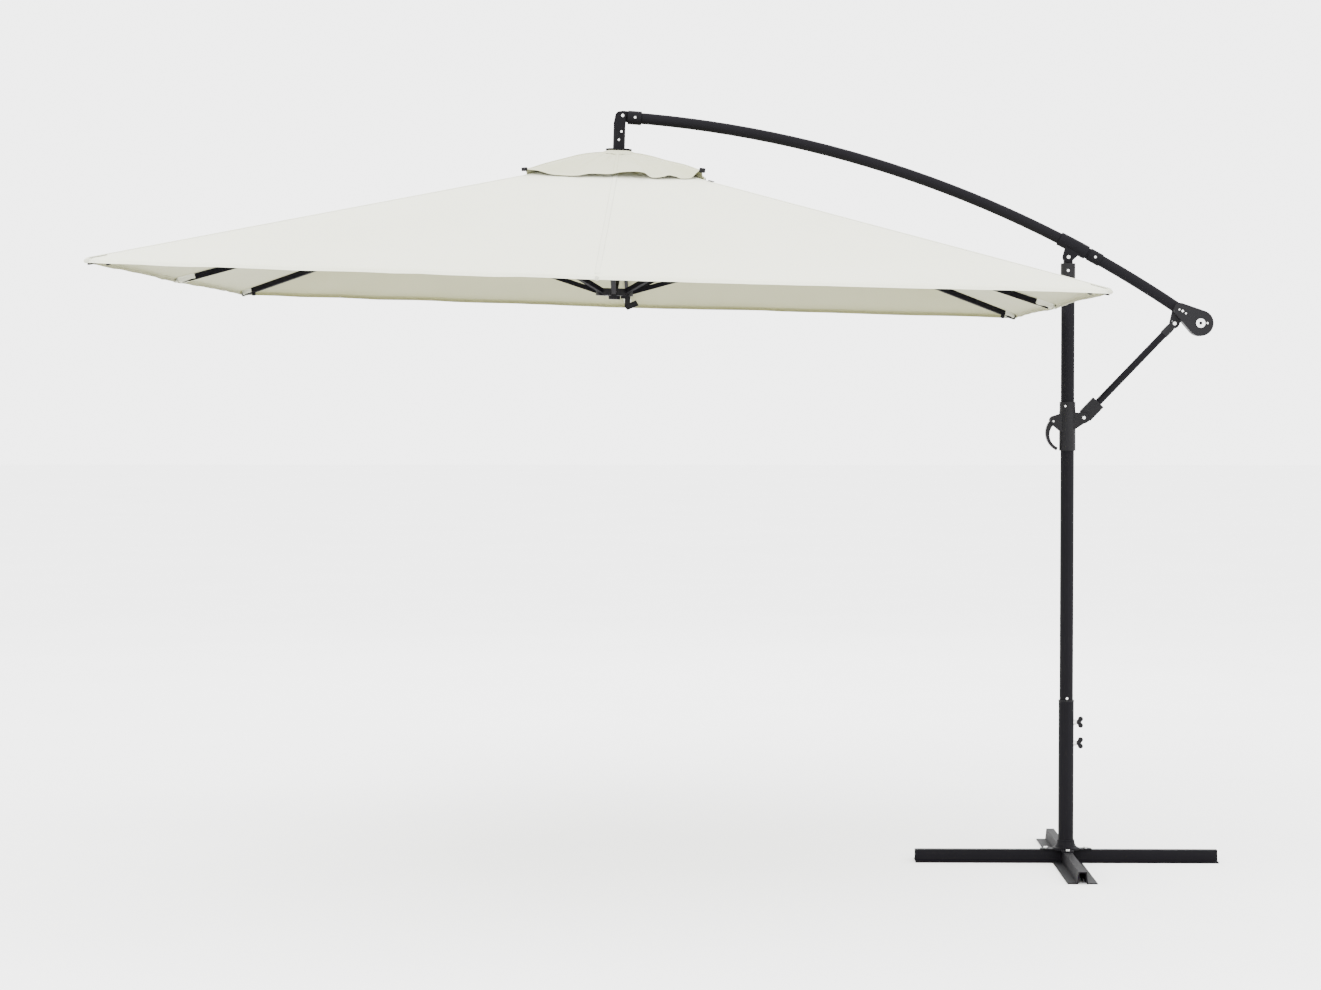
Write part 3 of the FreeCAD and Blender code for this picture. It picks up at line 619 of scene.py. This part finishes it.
apex = Patch([], [])
patch = grid_sheet("vent_apex_patch", apex, spread(0, 8, 48)[:-1], spread(0, 1, 8),
                   lambda v: (0.0002, SKIN), VENT_CLOTH, "canopy", ring=True)

# Across and up, as shares of the tape's half width and of its bulge: two stitched edges and a groove.
TAPE_PROFILE = ((-1, 0.0), (-0.82, 0.7), (-0.35, 1.0), (0, 0.55), (0.35, 1.0), (0.82, 0.7), (1, 0.0),
                (0, -0.6))
TAPE_LIFT = 0.0004


def ribbon(name, cloth, k, width, bulge, rows, end, material):
    """A sewn tape along rib k, on top of the cloth, from the inner edge to end."""
    bm = bmesh.new()
    uv_layer = bm.loops.layers.uv.new("metres")
    rings, lengths, travelled, last = [], [], 0.0, None
    for v in spread(0.0, end, rows):
        ring = []
        centre = cloth.point(k, v)
        travelled += (centre - last).length if last is not None else 0.0
        last = centre
        reach = max(centre.xy.length, 0.02)
        step = width / 2 / (reach * math.radians(45))
        for across, up in TAPE_PROFILE:
            p = cloth.point(k + across * step, v)
            n = cloth.normal(k + across * step, v)
            ring.append(bm.verts.new(TO_ROW @ (p + n * (TAPE_LIFT + up * bulge))))
        rings.append(ring)
        lengths.append(travelled)
    widths = [i * width / 6 for i in range(len(TAPE_PROFILE) + 1)]
    join_rings(bm, rings, uv_layer, widths, lengths)
    return add_object(name, bm, material, rib_body(k))


cover_extras = {k: [] for k in RIBS}
vent_extras = {k: [] for k in RIBS}
for k in RIBS:
    cover_extras[k].append(ribbon("rib_seam_%d" % (k + 1), cover, k, 0.012, 0.0006, ROWS, 0.995,
                                  SEAM_CLOTH))
    vent_extras[k].append(ribbon("vent_seam_%d" % (k + 1), vent, k, 0.009, 0.0009, ROWS // 2, 0.985,
                                 VENT_CLOTH))


def lofted(name, sections, material, body):
    """A closed solid through rings of points given in the row frame."""
    bm = bmesh.new()
    uv_layer = bm.loops.layers.uv.new("metres")
    rings = [[bm.verts.new(p) for p in ring] for ring in sections]
    rounds = [0.0]
    for a, b in zip(sections[0], sections[0][1:] + sections[0][:1]):
        rounds.append(rounds[-1] + (b - a).length)
    run = [0.0]
    for a, b in zip(sections, sections[1:]):
        run.append(run[-1] + (b[0] - a[0]).length)
    join_rings(bm, rings, uv_layer, rounds, run)
    return add_object(name, bm, material, body)


def rib_axes(k):
    """Along the rib, sideways and up, in the row frame."""
    along = RIB_DIRS[k]
    side = tangent(k)
    return along, side, along.cross(side).normalized()


def hem_height(k):
    """How far the cloth at the rim is above the rib's end."""
    end = TO_CANOPY @ RIB_ENDS[k]
    return (cover.point(k, 1.0) - end).dot(TO_CANOPY.to_3x3() @ rib_axes(k)[2])


POCKET_LENGTH = 0.062
POCKET_WALL = 0.0012
POCKET_HALF = 0.0068
POCKET_DEPTH = 0.0215
POCKET_FLANGE = 0.0075


def pocket_section(under, wide, deep, flange):
    """Across and up: the outside of the trough, then back along its inside."""
    w = POCKET_WALL
    right = [(wide * 0.62, under - deep), (wide, under - deep * 0.72), (wide, under - 0.005)]
    right += [(wide + 0.0012, under - 0.0016), (wide + flange, under)]
    left = [(-x, z) for x, z in reversed(right)]
    inside = [(wide + flange, under + 0.0003), (wide - w, under + 0.0002), (wide - w, under - 0.005)]
    inside += [(wide - w, under - deep * 0.70), (wide * 0.60 - w * 0.5, under - deep + w)]
    return left + right + inside + [(-x, z) for x, z in reversed(inside)]


def pocket(k):
    """Sewn sleeve that the rib's end sits in: a trough under the hem with flat flanges."""
    along, side, up = rib_axes(k)
    under = hem_height(k) - SKIN - 0.0004
    sections = []
    for u in spread(0.0, 1.0, 14):
        place = RIB_ENDS[k] + along * (-POCKET_LENGTH * (1 - u))
        narrowing = smooth_step((u - 0.86) / 0.14)
        deep = POCKET_DEPTH * (1 - 0.55 * narrowing) * (0.96 + 0.05 * math.sin(7 * u + k))
        wide = POCKET_HALF * (1 - 0.25 * narrowing) * (1 + 0.06 * math.sin(9 * u + 2 * k))
        flange = POCKET_FLANGE * (1 - 0.5 * narrowing)
        sections.append([place + side * a + up * b for a, b in pocket_section(under, wide, deep, flange)])
    return lofted("rib_pocket_%d" % (k + 1), sections, POCKET_CLOTH_PAINTED_SHADE, rib_body(k))


NOSE_LENGTH = 0.013
NOSE_R = 0.0085


def nose(k):
    """The pocket's closed and gathered end, which sticks out a little past the hem."""
    along, side, up = rib_axes(k)
    top = hem_height(k)
    sections = []
    for u in spread(0.0, 1.0, 8):
        place = RIB_ENDS[k] + along * (0.001 + NOSE_LENGTH * u)
        size = math.sqrt(max(0.02, 1 - u ** 2.2))
        ring = []
        for i in range(16):
            a = 2 * math.pi * i / 16
            fold = 1 + 0.10 * math.sin(4 * a + k) * u
            wide = NOSE_R * size * fold * math.cos(a)
            tall = -NOSE_R + (NOSE_R - 0.001) * size * fold * math.sin(a)
            ring.append(place + side * wide + up * (top - 0.001 + tall))
        sections.append(ring)
    return lofted("rib_tip_%d" % (k + 1), sections, POCKET_CLOTH_PAINTED_SHADE, rib_body(k))


for k in RIBS:
    cover_extras[k].append(pocket(k))
    cover_extras[k].append(nose(k))


def rounded_block(name, place, axes, size, edge, material, body):
    """A small moulded block with rounded edges."""
    bm = bmesh.new()
    bmesh.ops.create_cube(bm, size=1.0)
    for vert in bm.verts:
        vert.co = Vector((vert.co.x * size[0], vert.co.y * size[1], vert.co.z * size[2]))
    bmesh.ops.bevel(bm, geom=bm.edges[:], offset=edge, segments=3, affect="EDGES", profile=0.5)
    turn = Matrix(axes).transposed()
    for vert in bm.verts:
        vert.co = turn @ vert.co + place
    bmesh.ops.recalc_face_normals(bm, faces=bm.faces)
    return add_object(name, bm, material, body)


CLIP_HEIGHT = 0.0125
TALL_CLIP_HEIGHT = 0.016
TALL_CLIP_RIB = 7
STRAP_RIBS = (1, 7)
STRAP_PAST_VENT = 0.026


def corner_clip(k):
    """Small black clip that holds a vent corner down to the cover."""
    along, side, up = rib_axes(k)
    at = TO_ROW @ vent.point(k, 1.0) + along * 0.001 + up * 0.001
    tall = TALL_CLIP_HEIGHT if k == TALL_CLIP_RIB else CLIP_HEIGHT
    return rounded_block("vent_clip_%d" % (k + 1), at, (along, side, up), (0.013, 0.020, tall), 0.0028,
                         NYLON, rib_body(k))


def pocket_lug(k):
    """Black lug under a corner rib, where the pocket starts."""
    along, side, up = rib_axes(k)
    at = RIB_ENDS[k] - along * (POCKET_LENGTH + 0.006) - up * 0.0145
    return rounded_block("pocket_lug_%d" % (k + 1), at, (along, side, up), (0.012, 0.013, 0.014), 0.003,
                         NYLON, rib_body(k))


def strap_tab(k):
    """Short black strap on the cover beside a vent clip, on the mast's side."""
    along, side, up = rib_axes(k)
    inner, outer = cover.plain(k, 0).xy.length, cover.plain(k, 1).xy.length
    v = (vent.plain(k, 1).xy.length + STRAP_PAST_VENT - inner) / (outer - inner)
    at = TO_ROW @ cover.point(k, v) + up * 0.0028
    return rounded_block("vent_strap_%d" % (k + 1), at, (along, side, up), (0.022, 0.009, 0.0028), 0.0008,
                         NYLON, rib_body(k))


for k in RIBS:
    if k % 2:
        corner_clip(k)
        pocket_lug(k)
    if k in STRAP_RIBS:
        strap_tab(k)

for k in RIBS:
    gather(panels[k])
    gather(vents[k])


def cut_size(cloth, k):
    """Width across the outer edge and length along the rib of one wedge's flat cut."""
    width = (cloth.plain(k + 0.5, 1) - cloth.plain(k - 0.5, 1)).length
    length = (cloth.plain(k, 1) - cloth.plain(k, 0)).length
    return width, length


def wedge_area(cloth, k):
    """Flat area of one wedge, half of the cloth on each side of its rib."""
    total = 0.0
    for side in (-0.5, 0.5):
        a, b = cloth.plain(k, 0), cloth.plain(k + side, 0)
        c, d = cloth.plain(k + side, 1), cloth.plain(k, 1)
        total += (c - a).cross(d - b).length / 2
    return total


for k in RIBS:
    cut_size(cover, k)
    wedge_area(cover, k)
    cut_size(vent, k)
    wedge_area(vent, k)
for k in RIBS:
    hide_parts("canopy_cover")
    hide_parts("vent_cover")

# ------------------------------------------------------------------ floor, light and camera


def add_light(name, place, target, size, energy):
    data = bpy.data.lights.new(name, "AREA")
    data.shape = "SQUARE"
    data.size = size
    data.energy = energy
    lamp = bpy.data.objects.new(name, data)
    lamp.location = place
    lamp.rotation_euler = (Vector(target) - Vector(place)).to_track_quat("-Z", "Y").to_euler()
    bpy.context.scene.collection.objects.link(lamp)
    return lamp


FLOOR_SIZE = 60.0
FLOOR_DROP = 0.0005
SKY_STRENGTH = 4.6
# The camera stands where the photo was taken from.
LENS = 85.898
SENSOR_WIDTH = 36.0
CAMERA_PLACE = (-1.1701, -10.7345, 1.5924)
CAMERA_DOWN = 1.836  # degrees below level
CAMERA_LEFT = 1.133  # degrees turned to the left


def make_floor():
    s = Shader("pale_floor")
    cloud = s.noise(0.8, 4.0)
    base = s.ramp(cloud, [(0.3, (0.90, 0.90, 0.90)), (0.7, (0.93, 0.93, 0.93))])
    mat = s.feed(Base_Color=base, Roughness=0.9, Normal=s.bump(s.noise(60.0, 3.0), 0.0005, 0.2))
    bm = bmesh.new()
    bmesh.ops.create_grid(bm, x_segments=8, y_segments=8, size=FLOOR_SIZE)
    mesh = bpy.data.meshes.new("studio_floor")
    bm.to_mesh(mesh)
    bm.free()
    mesh.materials.append(mat)
    floor = bpy.data.objects.new("studio_floor", mesh)
    floor.location.z = -FLOOR_DROP
    bpy.context.scene.collection.objects.link(floor)
    return floor


def make_world():
    world = bpy.data.worlds.new("studio")
    bpy.context.scene.world = world
    world.use_nodes = True
    background = world.node_tree.nodes["Background"]
    background.inputs["Color"].default_value = (1.0, 1.0, 1.0, 1.0)
    background.inputs["Strength"].default_value = SKY_STRENGTH


def make_camera():
    data = bpy.data.cameras.new("photo_camera")
    data.lens = LENS
    data.sensor_width = SENSOR_WIDTH
    data.clip_end = 200.0
    camera = bpy.data.objects.new("photo_camera", data)
    camera.location = CAMERA_PLACE
    camera.rotation_euler = (math.radians(90 - CAMERA_DOWN), 0.0, math.radians(CAMERA_LEFT))
    bpy.context.scene.collection.objects.link(camera)
    bpy.context.scene.camera = camera


make_floor()
make_world()
aim = (CROWN.x * 0.6, 0.0, 1.2)
add_light("key", (-5.5, -6.5, 8.0), aim, 4.5, 900)
add_light("fill", (5.5, -6.0, 4.5), aim, 5.0, 350)
add_light("back", (-1.0, 8.0, 6.5), aim, 5.0, 300)
make_camera()
